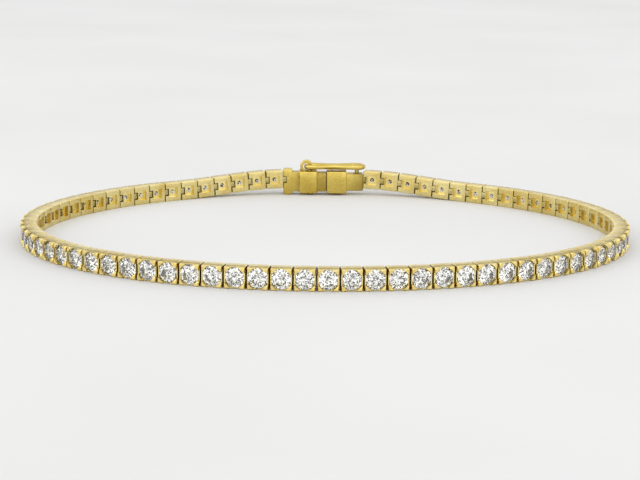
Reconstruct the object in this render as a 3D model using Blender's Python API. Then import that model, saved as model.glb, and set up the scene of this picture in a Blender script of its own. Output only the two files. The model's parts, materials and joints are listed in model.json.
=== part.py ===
# Yellow gold tennis bracelet, closed, lying on its side edge.
# Seventy-seven square four-prong links run round an egg-shaped oval to a box clasp with a
# figure-eight safety catch. X runs along the clasp, +Y points out of the loop there, and Z is up.

import math

import bmesh
import bpy
import numpy as np
from mathutils import Matrix, Vector

MM = 0.001
WELD = 0.0005 * MM

# Loop: the hinge line of the chain, seen from above
LINK_COUNT = 77
LEFT_LINKS = 39
LINK_PITCH = 2.18 * MM
LINK_GAP = 0.08 * MM
OVAL_RATIO = 0.803
OVAL_EGG = 0.045
CLASP_ASIDE = -0.80 * MM
CLASP_LIFT = 0.80 * MM
LIFTED_LINKS = 6

# Link: a square basket round its stone, its hinge line at y = 0 in the link's own frame
LINK_HEIGHT = 2.18 * MM
LINK_INNER = 0.35 * MM
RIM_OUT = 1.02 * MM
PRONG_OUT = 1.38 * MM
PRONG_SIDES = 3
PRONG_SIZE = 0.40 * MM
PRONG_INSET = 0.06 * MM
PRONG_LEAN = 0.10 * MM
PRONG_TAPER = 0.75
WINDOW_SHARE = 0.50
WINDOW_DEPTH = 0.45 * MM

# Hinge: a tongue on each link lies in a slot of the next one
TONGUE_HALF_HEIGHT = 0.34 * MM
TONGUE_HALF_DEPTH = 0.27 * MM
SLOT_REACH = 0.46 * MM
SLOT_GAP = 0.08 * MM
TONGUE_BITE = 0.06 * MM
FREE_TONGUE_GAP = 0.16 * MM

# Stone: a round brilliant, kept to its eight main facets
STONE_DIAMETER = 1.94 * MM
STONE_SIDES = 8
TABLE_SHARE = 0.58
CROWN_SHARE = 0.15
GIRDLE_DEPTH = 0.03 * MM
PAVILION_SHARE = 0.40
CULET_SHARE = 0.20

# Clasp box, and the end block that joins it to the first link
CLASP_LENGTH = 9.80 * MM
BOX_MOUTH = 5.30 * MM
BOX_HEIGHT = 2.70 * MM
CLASP_DROP = 0.29 * MM
BOX_INNER = 0.75 * MM
BOX_OUTER = 1.50 * MM
BOX_WALL = 0.35 * MM
BOX_BEVEL = 0.14 * MM
END_BLOCK_LENGTH = 2.05 * MM
END_BLOCK_INSET = 0.30 * MM
SOLDER_DEPTH = 0.20 * MM

# Tongue block on the other side of the seam, with its end tab, neck, foot and collar
SEAM_GAP = 1.15 * MM
BLOCK_LENGTH = 2.20 * MM
TAB_LENGTH = 1.10 * MM
TAB_HEIGHT = 3.10 * MM
TAB_OUT = 1.16 * MM
NECK_WIDTH = 1.40 * MM
NECK_HEIGHT = 2.40 * MM
FOOT_LENGTH = 1.20 * MM
COLLAR_INSET = 0.20 * MM
COLLAR_GAP = 0.25 * MM

# Spring tongue inside the box, and its thumb piece
LEAF_THICKNESS = 0.25 * MM
LEAF_CLEARANCE = 0.25 * MM
THUMB_FROM_MOUTH = 1.20 * MM
THUMB_LENGTH = 0.70 * MM
THUMB_WIDTH = 0.60 * MM
NOTCH_GAP = 0.15 * MM

# Safety catch, the lug that it turns in and the ball peg that holds it
WIRE_DIAMETER = 0.60 * MM
CATCH_GAP = 0.20 * MM
CATCH_OUT = 0.40 * MM
LUG_WIDTH = 0.80 * MM
LUG_LENGTH = 1.55 * MM
LUG_HOLE = 0.90 * MM
LUG_FROM_SEAM = 1.30 * MM
EYE_GAP = 0.08 * MM
WAIST_GAP = 0.14 * MM
BALL_DIAMETER = 0.80 * MM
PEG_DIAMETER = 0.50 * MM
PEG_FROM_END = 0.80 * MM

# Fineness of round shapes, and how far a cutter runs past the face that it cuts
WIRE_SIDES = 6
ROUND_SIDES = 12
LUG_SIDES = 16
BALL_STEPS = 6
CORNER_STEPS = 2
WAIST_STEPS = 12
EYE_STEPS = 4
SHARP_ANGLE = math.radians(35)
OVERCUT = 0.20 * MM

# Heights and places that follow from the sizes above
LINK_LENGTH = LINK_PITCH - LINK_GAP
HINGE_HEIGHT = LINK_HEIGHT / 2 + CLASP_LIFT
CLASP_MIDDLE = HINGE_HEIGHT - CLASP_DROP
BOX_FOOT = CLASP_MIDDLE - BOX_HEIGHT / 2
BOX_TOP = BOX_FOOT + BOX_HEIGHT
WIRE_HEIGHT = BOX_TOP + CATCH_GAP + WIRE_DIAMETER / 2
CLASP_START = -CLASP_LENGTH / 2
CLASP_END = CLASP_LENGTH / 2
MOUTH_X = CLASP_START + BOX_MOUTH
BOX_END_X = CLASP_END - END_BLOCK_LENGTH
SEAM_X = MOUTH_X - SEAM_GAP
LUG_X = SEAM_X - LUG_FROM_SEAM
PEG_X = CLASP_END - PEG_FROM_END
CATCH_LENGTH = PEG_X - LUG_X


def clear_scene():
    """Remove whatever the scene holds."""
    for item in list(bpy.data.objects):
        bpy.data.objects.remove(item, do_unlink=True)


def make_material(name, colour, metallic, roughness, transmission=0.0, ior=1.5):
    material = bpy.data.materials.new(name)
    material.use_nodes = True
    shader = material.node_tree.nodes["Principled BSDF"]
    shader.inputs["Base Color"].default_value = (*colour, 1.0)
    shader.inputs["Metallic"].default_value = metallic
    shader.inputs["Roughness"].default_value = roughness
    shader.inputs["Transmission Weight"].default_value = transmission
    shader.inputs["IOR"].default_value = ior
    material.diffuse_color = (*colour, 1.0)
    return material


def add_object(name, data):
    """A new object among the blanks and cutters."""
    item = bpy.data.objects.new(name, data)
    BLANKS.objects.link(item)
    return item


def mesh_from(bm, name):
    mesh = bpy.data.meshes.new(name)
    bmesh.ops.recalc_face_normals(bm, faces=bm.faces)
    bm.to_mesh(mesh)
    bm.free()
    return mesh


def box(low, high, bevel=0.0, segments=2):
    """A box between two corners, its edges rounded where a bevel is given."""
    low = Vector(low)
    high = Vector(high)
    bm = bmesh.new()
    bmesh.ops.create_cube(bm, size=1.0)
    bmesh.ops.scale(bm, vec=high - low, verts=bm.verts)
    bmesh.ops.translate(bm, vec=(low + high) / 2, verts=bm.verts)
    if bevel:
        bmesh.ops.bevel(
            bm, geom=bm.edges, offset=bevel, segments=segments, affect="EDGES", profile=0.5
        )
    return add_object("box", mesh_from(bm, "box"))


def rod(radius, length, centre, axis, sides=ROUND_SIDES):
    """A round bar about the given axis."""
    bm = bmesh.new()
    bmesh.ops.create_cone(
        bm, cap_ends=True, segments=sides, radius1=radius, radius2=radius, depth=length
    )
    turn = Vector((0, 0, 1)).rotation_difference(Vector(axis)).to_matrix().to_4x4()
    bmesh.ops.transform(bm, matrix=Matrix.Translation(centre) @ turn, verts=bm.verts)
    return add_object("rod", mesh_from(bm, "rod"))


def turned(profile, centre):
    """A closed solid turned about an upright axis from a profile that starts and ends on it."""
    bm = bmesh.new()
    verts = [bm.verts.new((radius, 0.0, height)) for radius, height in profile]
    for first, second in zip(verts, verts[1:]):
        bm.edges.new((first, second))
    bmesh.ops.spin(
        bm,
        geom=bm.verts[:] + bm.edges[:],
        cent=(0, 0, 0),
        axis=(0, 0, 1),
        angle=2.0 * math.pi,
        steps=ROUND_SIDES,
        use_merge=True,
    )
    bmesh.ops.remove_doubles(bm, verts=bm.verts, dist=WELD)
    bmesh.ops.translate(bm, vec=centre, verts=bm.verts)
    return add_object("turned", mesh_from(bm, "turned"))


def apply_boolean(target, tool, operation):
    """Join the tool to the target, or cut it out, and keep the result as the target's mesh."""
    modifier = target.modifiers.new(operation.title(), "BOOLEAN")
    modifier.operation = operation
    modifier.solver = "EXACT"
    modifier.object = tool
    graph = bpy.context.evaluated_depsgraph_get()
    result = bpy.data.meshes.new_from_object(target.evaluated_get(graph))
    target.modifiers.clear()
    target.data = result
    bpy.data.objects.remove(tool, do_unlink=True)
    bm = bmesh.new()
    bm.from_mesh(result)
    bmesh.ops.dissolve_degenerate(bm, edges=bm.edges, dist=WELD)
    bmesh.ops.remove_doubles(bm, verts=bm.verts, dist=WELD)
    bm.to_mesh(result)
    bm.free()


def merge_flat_faces(item):
    """Join coplanar faces that a Boolean has split."""
    bm = bmesh.new()
    bm.from_mesh(item.data)
    bmesh.ops.dissolve_limit(
        bm, angle_limit=math.radians(0.3), verts=bm.verts, edges=bm.edges, delimit={"MATERIAL"}
    )
    bm.to_mesh(item.data)
    bm.free()


def hinge_points():
    """Hinges of the chain in order, from the clasp's right end round the front to its left end."""
    turn = np.linspace(0.0, 2.0 * math.pi, 4001)
    across = np.sin(turn) * (1.0 - OVAL_EGG * np.cos(turn))
    along = OVAL_RATIO * np.cos(turn)
    walked = np.concatenate(([0.0], np.cumsum(np.hypot(np.diff(across), np.diff(along)))))
    around = LINK_COUNT * LINK_PITCH + CLASP_LENGTH
    size = around / walked[-1]
    start = CLASP_LENGTH / 2 - CLASP_ASIDE
    stops = (start + LINK_PITCH * np.arange(LINK_COUNT + 1)) % around
    xs = np.interp(stops, walked * size, across * size)
    ys = np.interp(stops, walked * size, along * size)
    points = [Vector((x, y, 0.0)) for x, y in zip(xs, ys)]
    chord = points[0] - points[-1]
    middle = (points[0] + points[-1]) / 2
    level = Matrix.Rotation(-math.atan2(chord.y, chord.x), 4, "Z") @ Matrix.Translation(-middle)
    points = [level @ point for point in points]
    for place, point in enumerate(points):
        point.z = HINGE_HEIGHT - CLASP_LIFT * settle(min(place, LINK_COUNT - place))
    return points


def settle(links_away):
    """How far the chain has come down from the clasp's height, from 0 to 1."""
    share = min(links_away / LIFTED_LINKS, 1.0)
    return share * share * (3.0 - 2.0 * share)


def link_frames(points):
    """Each link's own frame: x along the chain, y out of the loop, z up."""
    frames = []
    for first, second in zip(points, points[1:]):
        forward = (second - first).normalized()
        outward = Vector((0, 0, 1)).cross(forward).normalized()
        upward = forward.cross(outward)
        turn = Matrix((forward, outward, upward)).transposed().to_4x4()
        frames.append(Matrix.Translation((first + second) / 2) @ turn)
    return frames


def make_stone():
    """Brilliant-cut stone: pavilion, girdle, crown and table."""
    radius = STONE_DIAMETER / 2
    pavilion = STONE_DIAMETER * PAVILION_SHARE
    bm = bmesh.new()
    bmesh.ops.create_cone(
        bm,
        cap_ends=True,
        segments=STONE_SIDES,
        radius1=radius * CULET_SHARE,
        radius2=radius,
        depth=pavilion,
    )
    spin = Matrix.Rotation(math.pi / STONE_SIDES, 4, "Z")
    lift = Matrix.Translation((0, 0, RIM_OUT - GIRDLE_DEPTH - pavilion / 2))
    bmesh.ops.transform(bm, matrix=lift @ spin, verts=bm.verts)
    bm.faces.ensure_lookup_table()
    top = max(bm.faces, key=lambda face: face.calc_center_median().z)
    crown = bmesh.ops.extrude_face_region(bm, geom=[top])
    bm.faces.remove(top)
    table = [vert for vert in crown["geom"] if isinstance(vert, bmesh.types.BMVert)]
    for vert in table:
        vert.co.x *= TABLE_SHARE
        vert.co.y *= TABLE_SHARE
        vert.co.z += STONE_DIAMETER * CROWN_SHARE
    bmesh.ops.rotate(bm, cent=(0, 0, 0), matrix=Matrix.Rotation(-math.pi / 2, 3, "X"), verts=bm.verts)
    for face in bm.faces:
        face.material_index = 1
    return add_object("stone", mesh_from(bm, "stone"))


def make_prong(corner):
    """A three-sided prong over one corner of the basket, its flat side towards the stone."""
    foot = RIM_OUT / 2
    depth = PRONG_OUT - foot
    bm = bmesh.new()
    bmesh.ops.create_cone(
        bm,
        cap_ends=True,
        segments=PRONG_SIDES,
        radius1=PRONG_SIZE,
        radius2=PRONG_SIZE * PRONG_TAPER,
        depth=depth,
    )
    outward = corner.normalized()
    place = corner - outward * (PRONG_SIZE + PRONG_INSET)
    upright = Matrix.Rotation(-math.pi / 2, 4, "X")
    bmesh.ops.transform(bm, matrix=upright, verts=bm.verts)
    apex = max(bm.verts, key=lambda vert: vert.co.x * vert.co.x + vert.co.z * vert.co.z).co
    turn = math.atan2(apex.z, apex.x) - math.atan2(outward.z, outward.x)
    bmesh.ops.rotate(bm, cent=(0, 0, 0), matrix=Matrix.Rotation(turn, 3, "Y"), verts=bm.verts)
    bmesh.ops.translate(bm, vec=place + Vector((0, foot + depth / 2, 0)), verts=bm.verts)
    for vert in bm.verts:
        if vert.co.y > foot + depth / 2:
            vert.co -= outward * PRONG_LEAN
    return add_object("prong", mesh_from(bm, "prong"))


def make_link(free_tongue):
    """One link with its stone; a free tongue stops short of the next node's slot."""
    half_length = LINK_LENGTH / 2
    half_height = LINK_HEIGHT / 2
    hinge = LINK_PITCH / 2
    link = box((-half_length, -LINK_INNER, -half_height), (half_length, RIM_OUT, half_height))
    link.data.materials.append(GOLD)
    link.data.materials.append(STONE)

    window = WINDOW_SHARE * half_length
    window_floor = WINDOW_DEPTH - LINK_INNER
    inside = -LINK_INNER - OVERCUT
    apply_boolean(
        link, box((-window, inside, -window), (window, window_floor, window)), "DIFFERENCE"
    )
    slot_height = TONGUE_HALF_HEIGHT + SLOT_GAP
    slot_depth = TONGUE_HALF_DEPTH + SLOT_GAP
    slot = box(
        (-half_length - OVERCUT, inside, -slot_height),
        (SLOT_REACH - hinge, slot_depth, slot_height),
    )
    apply_boolean(link, slot, "DIFFERENCE")
    reach = SLOT_REACH - FREE_TONGUE_GAP if free_tongue else SLOT_REACH + TONGUE_BITE
    tongue = box(
        ((window + half_length) / 2, -TONGUE_HALF_DEPTH, -TONGUE_HALF_HEIGHT),
        (hinge + reach, TONGUE_HALF_DEPTH, TONGUE_HALF_HEIGHT),
    )
    apply_boolean(link, tongue, "UNION")
    apply_boolean(link, make_stone(), "UNION")
    for side_x in (-1, 1):
        for side_z in (-1, 1):
            corner = Vector((side_x * half_length, 0.0, side_z * half_height))
            apply_boolean(link, make_prong(corner), "UNION")
    merge_flat_faces(link)
    return link


def make_chain(name, frames):
    """Links joined where their tongues bite; the last tongue is free, for the next piece."""
    plain = make_link(False)
    last = make_link(True)
    rows = (bmesh.new(), bmesh.new())
    for place, frame in enumerate(frames):
        source = last if place == len(frames) - 1 else plain
        row = rows[place % 2]
        known = len(row.verts)
        row.from_mesh(source.data)
        row.verts.ensure_lookup_table()
        bmesh.ops.transform(row, matrix=frame, verts=row.verts[known:])
    meshes = []
    for number, row in enumerate(rows):
        mesh = bpy.data.meshes.new(f"{name}_row_{number}")
        row.to_mesh(mesh)
        row.free()
        mesh.materials.append(GOLD)
        mesh.materials.append(STONE)
        meshes.append(mesh)
    for item in (plain, last):
        bpy.data.objects.remove(item, do_unlink=True)
    chain = add_object(name, meshes[0])
    apply_boolean(chain, add_object("row", meshes[1]), "UNION")
    merge_flat_faces(chain)
    return chain


def make_clasp_tongue():
    """End tab, neck, block, foot, collar and the lug that the safety catch turns in."""
    block_x = SEAM_X - BLOCK_LENGTH
    tongue = box((block_x, -BOX_INNER, BOX_FOOT), (SEAM_X, BOX_OUTER, BOX_TOP), BOX_BEVEL)

    tab_x = CLASP_START + LINK_GAP / 2
    tab = box(
        (tab_x, -LINK_INNER, CLASP_MIDDLE - TAB_HEIGHT / 2),
        (tab_x + TAB_LENGTH, TAB_OUT, CLASP_MIDDLE + TAB_HEIGHT / 2),
        BOX_BEVEL,
    )
    slot_height = TONGUE_HALF_HEIGHT + SLOT_GAP
    slot_x = CLASP_START + SLOT_REACH
    slot = box(
        (CLASP_START - OVERCUT, -LINK_INNER - OVERCUT, HINGE_HEIGHT - slot_height),
        (slot_x, TONGUE_HALF_DEPTH + SLOT_GAP, HINGE_HEIGHT + slot_height),
    )
    apply_boolean(tab, slot, "DIFFERENCE")
    apply_boolean(tongue, tab, "UNION")
    neck = box(
        (
            (slot_x + tab_x + TAB_LENGTH) / 2,
            CATCH_OUT - NECK_WIDTH / 2,
            CLASP_MIDDLE - NECK_HEIGHT / 2,
        ),
        (block_x + SOLDER_DEPTH, CATCH_OUT + NECK_WIDTH / 2, CLASP_MIDDLE + NECK_HEIGHT / 2),
    )
    apply_boolean(tongue, neck, "UNION")
    foot = rod(FOOT_LENGTH / 2, LUG_WIDTH, (LUG_X, CATCH_OUT, FOOT_LENGTH / 2), (0, 1, 0))
    apply_boolean(tongue, foot, "UNION")
    collar = box(
        (SEAM_X - SOLDER_DEPTH, COLLAR_INSET - BOX_INNER, BOX_FOOT + COLLAR_INSET),
        (MOUTH_X - COLLAR_GAP, BOX_OUTER - COLLAR_INSET, BOX_TOP - COLLAR_INSET),
    )
    apply_boolean(tongue, collar, "UNION")

    lug_radius = LUG_LENGTH / 2
    lug_axis = (LUG_X, CATCH_OUT, WIRE_HEIGHT)
    lug_top = rod(lug_radius, LUG_WIDTH, lug_axis, (0, 1, 0), LUG_SIDES)
    lug_stem = box(
        (LUG_X - lug_radius, CATCH_OUT - LUG_WIDTH / 2, BOX_TOP - SOLDER_DEPTH),
        (LUG_X + lug_radius, CATCH_OUT + LUG_WIDTH / 2, WIRE_HEIGHT),
    )
    apply_boolean(lug_top, lug_stem, "UNION")
    apply_boolean(tongue, lug_top, "UNION")
    hole = rod(LUG_HOLE / 2, LUG_WIDTH + 2 * OVERCUT, lug_axis, (0, 1, 0))
    apply_boolean(tongue, hole, "DIFFERENCE")
    return tongue


def add_spring_tongue(tongue):
    """Folded leaf from the block into the box, and the thumb piece that comes out below."""
    inset = BOX_WALL + LEAF_CLEARANCE
    low_y = inset - BOX_INNER
    high_y = BOX_OUTER - inset
    top = BOX_TOP - inset
    bottom = BOX_FOOT + inset
    tip = BOX_END_X - inset
    thumb_x = MOUTH_X + THUMB_FROM_MOUTH
    leaves = (
        ((SEAM_X - SOLDER_DEPTH, low_y, top - LEAF_THICKNESS), (tip, high_y, top)),
        ((tip - LEAF_THICKNESS, low_y, bottom), (tip, high_y, top - LEAF_THICKNESS / 2)),
        ((thumb_x, low_y, bottom), (tip - LEAF_THICKNESS / 2, high_y, bottom + LEAF_THICKNESS)),
    )
    for low, high in leaves:
        apply_boolean(tongue, box(low, high), "UNION")
    thumb = box(
        (thumb_x - THUMB_LENGTH / 2, CATCH_OUT - THUMB_WIDTH / 2, 0.0),
        (thumb_x + THUMB_LENGTH / 2, CATCH_OUT + THUMB_WIDTH / 2, bottom + SOLDER_DEPTH),
        BOX_BEVEL,
    )
    apply_boolean(tongue, thumb, "UNION")


def make_ball_peg():
    """Turned peg on the end block, with the ball that the catch's eye snaps over."""
    radius = BALL_DIAMETER / 2
    neck = PEG_DIAMETER / 2
    root = BOX_TOP - END_BLOCK_INSET - SOLDER_DEPTH
    profile = [(0.0, root), (neck, root)]
    first = math.asin(neck / radius)
    for step in range(BALL_STEPS):
        angle = first + (math.pi - first) * step / BALL_STEPS
        profile.append((radius * math.sin(angle), WIRE_HEIGHT - radius * math.cos(angle)))
    profile.append((0.0, WIRE_HEIGHT + radius))
    return turned(profile, (PEG_X, CATCH_OUT, 0.0))


def make_clasp_box():
    """Hollow box with its notch, end block, hinge tongue and ball peg."""
    clasp = box((MOUTH_X, -BOX_INNER, BOX_FOOT), (BOX_END_X, BOX_OUTER, BOX_TOP), BOX_BEVEL)
    end_x = CLASP_END - LINK_GAP / 2
    end_block = box(
        (BOX_END_X - SOLDER_DEPTH, END_BLOCK_INSET - BOX_INNER, BOX_FOOT + END_BLOCK_INSET),
        (end_x, BOX_OUTER - END_BLOCK_INSET, BOX_TOP - END_BLOCK_INSET),
        BOX_BEVEL,
    )
    apply_boolean(clasp, end_block, "UNION")
    hollow = box(
        (MOUTH_X - OVERCUT, BOX_WALL - BOX_INNER, BOX_FOOT + BOX_WALL),
        (BOX_END_X - BOX_WALL, BOX_OUTER - BOX_WALL, BOX_TOP - BOX_WALL),
    )
    apply_boolean(clasp, hollow, "DIFFERENCE")
    notch_half = THUMB_WIDTH / 2 + NOTCH_GAP
    notch_end = MOUTH_X + THUMB_FROM_MOUTH + THUMB_LENGTH / 2 + NOTCH_GAP
    notch = box(
        (MOUTH_X - OVERCUT, CATCH_OUT - notch_half, BOX_FOOT - OVERCUT),
        (notch_end, CATCH_OUT + notch_half, BOX_FOOT + BOX_WALL + OVERCUT),
    )
    apply_boolean(clasp, notch, "DIFFERENCE")
    hinge_tongue = box(
        (end_x - SOLDER_DEPTH, -TONGUE_HALF_DEPTH, HINGE_HEIGHT - TONGUE_HALF_HEIGHT),
        (
            CLASP_END + SLOT_REACH - FREE_TONGUE_GAP,
            TONGUE_HALF_DEPTH,
            HINGE_HEIGHT + TONGUE_HALF_HEIGHT,
        ),
    )
    apply_boolean(clasp, hinge_tongue, "UNION")
    apply_boolean(clasp, make_ball_peg(), "UNION")
    return clasp


def catch_outline():
    """One half of the figure eight from the stirrup bar round to the tip of the eye."""
    wire = WIRE_DIAMETER / 2
    stirrup = LUG_WIDTH / 2 + EYE_GAP + wire
    eye = BALL_DIAMETER / 2 + EYE_GAP + wire
    waist = WAIST_GAP / 2 + wire
    corner = stirrup - LUG_WIDTH / 2
    points = []
    for step in range(CORNER_STEPS + 1):
        angle = math.pi / 2 * step / CORNER_STEPS
        side = stirrup - corner + corner * math.sin(angle)
        points.append((corner - corner * math.cos(angle), side))
    for step in range(1, WAIST_STEPS):
        share = step / WAIST_STEPS
        swell = 0.5 + 0.5 * math.cos(2.0 * math.pi * share)
        wide = stirrup + (eye - stirrup) * share
        points.append((corner + (CATCH_LENGTH - corner) * share, waist + (wide - waist) * swell))
    for step in range(EYE_STEPS + 1):
        angle = math.pi / 2 * (1 - step / EYE_STEPS)
        points.append((CATCH_LENGTH + eye * math.cos(angle), eye * math.sin(angle)))
    return points


def make_safety_catch():
    """Figure-eight wire, its origin on the axis that it turns about."""
    half = catch_outline()
    outline = half + [(x, -y) for x, y in reversed(half[:-1])]
    curve = bpy.data.curves.new("safety_catch", "CURVE")
    curve.dimensions = "3D"
    curve.bevel_depth = WIRE_DIAMETER / 2
    curve.bevel_resolution = WIRE_SIDES // 2 - 2
    curve.use_fill_caps = True
    spline = curve.splines.new("POLY")
    spline.points.add(len(outline) - 1)
    for point, (x, y) in zip(spline.points, outline):
        point.co = (x, y, 0.0, 1.0)
    spline.use_cyclic_u = True
    catch = add_object("safety_catch", curve)
    catch.location = (LUG_X, CATCH_OUT, WIRE_HEIGHT)
    return catch


def finish_part(item, name, material=None):
    """Name a finished piece, smooth its round faces and move it among the parts."""
    item.name = name
    item.data.name = name
    if material:
        item.data.materials.clear()
        item.data.materials.append(material)
    if item.type == "MESH":
        item.data.shade_smooth()
        item.data.set_sharp_from_angle(angle=SHARP_ANGLE)
    BLANKS.objects.unlink(item)
    PARTS.objects.link(item)


clear_scene()
PARTS = bpy.data.collections.new("tennis_bracelet")
BLANKS = bpy.data.collections.new("blanks_and_cutters")
for collection in (PARTS, BLANKS):
    bpy.context.scene.collection.children.link(collection)
GOLD = make_material("chain_gold", (0.90, 0.62, 0.22), 1.0, 0.20)
STONE = make_material("white_stone", (0.95, 0.96, 0.98), 0.0, 0.03, transmission=0.9, ior=2.4)
TONGUE_GOLD = make_material("tongue_gold", (0.88, 0.60, 0.21), 1.0, 0.22)
BOX_GOLD = make_material("box_gold", (0.89, 0.62, 0.23), 1.0, 0.20)
CATCH_GOLD = make_material("catch_gold", (0.91, 0.64, 0.25), 1.0, 0.18)

frames = link_frames(hinge_points())
right_links = LINK_COUNT - LEFT_LINKS
finish_part(make_chain("chain_right", frames[:right_links]), "chain_right")
finish_part(make_chain("chain_left", frames[right_links:]), "chain_left")
clasp_tongue = make_clasp_tongue()
add_spring_tongue(clasp_tongue)
merge_flat_faces(clasp_tongue)
finish_part(clasp_tongue, "clasp_tongue", TONGUE_GOLD)
clasp_box = make_clasp_box()
merge_flat_faces(clasp_box)
finish_part(clasp_box, "clasp_box", BOX_GOLD)
finish_part(make_safety_catch(), "safety_catch", CATCH_GOLD)

parts = list(PARTS.objects)
bpy.context.view_layer.update()
corners = [item.matrix_world @ Vector(corner) for item in parts for corner in item.bound_box]
middle_x = (min(corner.x for corner in corners) + max(corner.x for corner in corners)) / 2
middle_y = (min(corner.y for corner in corners) + max(corner.y for corner in corners)) / 2
centre = bpy.data.objects.new("bracelet_centre", None)
centre.location = (-middle_x, -middle_y, 0.0)
PARTS.objects.link(centre)
for item in parts:
    item.parent = centre
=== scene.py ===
import json
import math
import random

import bpy
import numpy as np
from mathutils import Matrix, Quaternion, Vector


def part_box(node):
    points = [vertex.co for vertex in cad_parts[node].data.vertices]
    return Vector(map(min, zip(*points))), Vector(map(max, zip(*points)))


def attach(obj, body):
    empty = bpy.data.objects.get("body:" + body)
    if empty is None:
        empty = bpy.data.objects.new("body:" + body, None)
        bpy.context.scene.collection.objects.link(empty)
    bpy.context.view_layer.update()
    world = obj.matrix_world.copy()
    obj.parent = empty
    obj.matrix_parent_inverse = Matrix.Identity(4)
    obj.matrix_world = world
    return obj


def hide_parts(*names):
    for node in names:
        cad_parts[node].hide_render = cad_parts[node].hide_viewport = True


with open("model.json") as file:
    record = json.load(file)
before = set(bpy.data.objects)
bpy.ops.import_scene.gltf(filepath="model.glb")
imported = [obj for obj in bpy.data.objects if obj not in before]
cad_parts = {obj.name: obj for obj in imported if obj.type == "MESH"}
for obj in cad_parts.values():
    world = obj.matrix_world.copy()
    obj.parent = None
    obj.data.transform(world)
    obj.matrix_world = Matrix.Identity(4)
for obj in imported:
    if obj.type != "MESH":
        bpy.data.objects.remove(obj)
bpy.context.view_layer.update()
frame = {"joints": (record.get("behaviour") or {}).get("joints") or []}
mm = 0.001  # pieces are modelled in millimetres and brought to metres when they are placed

# the loop of the chain, seen from above, as the CAD part lays it
loop = {
    "links": 77,
    "leftLinks": 39,
    "pitch": 2.18,
    "ovalRatio": 0.803,
    "ovalEgg": 0.045,
    "claspLength": 9.80,
    "claspAside": -0.80,
    "claspLift": 0.80,
    "liftedLinks": 6,
    "hingeHeight": 1.89,
    "lugFromMiddle": -2.05,
    "catchOut": 0.40,
}


def settle(linksAway):
    share = min(linksAway / loop["liftedLinks"], 1.0)
    return share * share * (3.0 - 2.0 * share)


def claspOrigin():
    pivot = Vector(frame["joints"][0]["pos_m"]) / mm  # the catch turns in the clasp's lug
    return Vector((pivot.x - loop["lugFromMiddle"], pivot.y - loop["catchOut"], 0.0))


def chainHinges():
    turn = np.linspace(0.0, 2.0 * math.pi, 4001)
    across = np.sin(turn) * (1.0 - loop["ovalEgg"] * np.cos(turn))
    along = loop["ovalRatio"] * np.cos(turn)
    walked = np.concatenate(([0.0], np.cumsum(np.hypot(np.diff(across), np.diff(along)))))
    around = loop["links"] * loop["pitch"] + loop["claspLength"]
    size = around / walked[-1]
    start = loop["claspLength"] / 2 - loop["claspAside"]
    stops = (start + loop["pitch"] * np.arange(loop["links"] + 1)) % around
    xs = np.interp(stops, walked * size, across * size)
    ys = np.interp(stops, walked * size, along * size)
    points = [Vector((x, y, 0.0)) for x, y in zip(xs, ys)]
    chord = points[0] - points[-1]
    level = Matrix.Rotation(-math.atan2(chord.y, chord.x), 4, "Z")
    level = level @ Matrix.Translation(-(points[0] + points[-1]) / 2)
    origin = claspOrigin()
    places = []
    for step, point in enumerate(points):
        place = origin + level @ point
        lowered = settle(min(step, loop["links"] - step))
        place.z = loop["hingeHeight"] - loop["claspLift"] * lowered
        places.append(place)
    return places


def linkPlaces():
    hinges = chainHinges()
    places = []
    for first, second in zip(hinges, hinges[1:]):
        forward = (second - first).normalized()
        outward = Vector((0, 0, 1)).cross(forward).normalized()
        upward = forward.cross(outward)
        turn = Matrix((forward, outward, upward)).transposed().to_4x4()
        places.append(Matrix.Translation((first + second) / 2) @ turn)
    return places


# modelling helpers
def only(piece):
    if bpy.context.object and bpy.context.object.mode != "OBJECT":
        bpy.ops.object.mode_set(mode="OBJECT")
    bpy.ops.object.select_all(action="DESELECT")
    piece.select_set(True)
    bpy.context.view_layer.objects.active = piece


def added(name):
    piece = bpy.context.object
    piece.name = name
    piece.data.name = name
    bpy.ops.object.transform_apply(location=True, rotation=True, scale=True)
    return piece


def addBlock(name, low, high):
    bpy.ops.object.select_all(action="DESELECT")
    middle = [(a + b) / 2 for a, b in zip(low, high)]
    size = [b - a for a, b in zip(low, high)]
    bpy.ops.mesh.primitive_cube_add(size=1, location=middle, scale=size)
    return added(name)


def addBar(name, radius, depth, centre, axis, vertices=24, radius2=None):
    bpy.ops.object.select_all(action="DESELECT")
    turn = Vector((0, 0, 1)).rotation_difference(Vector(axis)).to_euler()
    bpy.ops.mesh.primitive_cone_add(
        vertices=vertices,
        radius1=radius,
        radius2=radius if radius2 is None else radius2,
        depth=depth,
        location=centre,
        rotation=turn,
    )
    return added(name)


def pickEdges(piece, wanted):
    only(piece)
    bpy.context.tool_settings.mesh_select_mode = (False, True, False)
    bpy.ops.object.mode_set(mode="EDIT")
    bpy.ops.mesh.select_all(action="DESELECT")
    bpy.ops.object.mode_set(mode="OBJECT")
    points = piece.data.vertices
    for edge in piece.data.edges:
        edge.select = wanted(points[edge.vertices[0]].co, points[edge.vertices[1]].co)
    bpy.ops.object.mode_set(mode="EDIT")


def pickFaces(piece, wanted):
    only(piece)
    bpy.context.tool_settings.mesh_select_mode = (False, False, True)
    bpy.ops.object.mode_set(mode="EDIT")
    bpy.ops.mesh.select_all(action="DESELECT")
    bpy.ops.object.mode_set(mode="OBJECT")
    for face in piece.data.polygons:
        face.select = wanted(face.center, face.normal)
    bpy.ops.object.mode_set(mode="EDIT")


def objectMode():
    bpy.ops.object.mode_set(mode="OBJECT")


def roundEdges(piece, width, segments=2, wanted=None):
    pickEdges(piece, wanted or (lambda a, b: True))
    bpy.ops.mesh.bevel(offset=width, segments=segments, affect="EDGES")
    objectMode()


def softBlock(name, low, high, edge, steps=3):
    block = addBlock(name, low, high)
    roundEdges(block, edge, steps)
    return block


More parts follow.
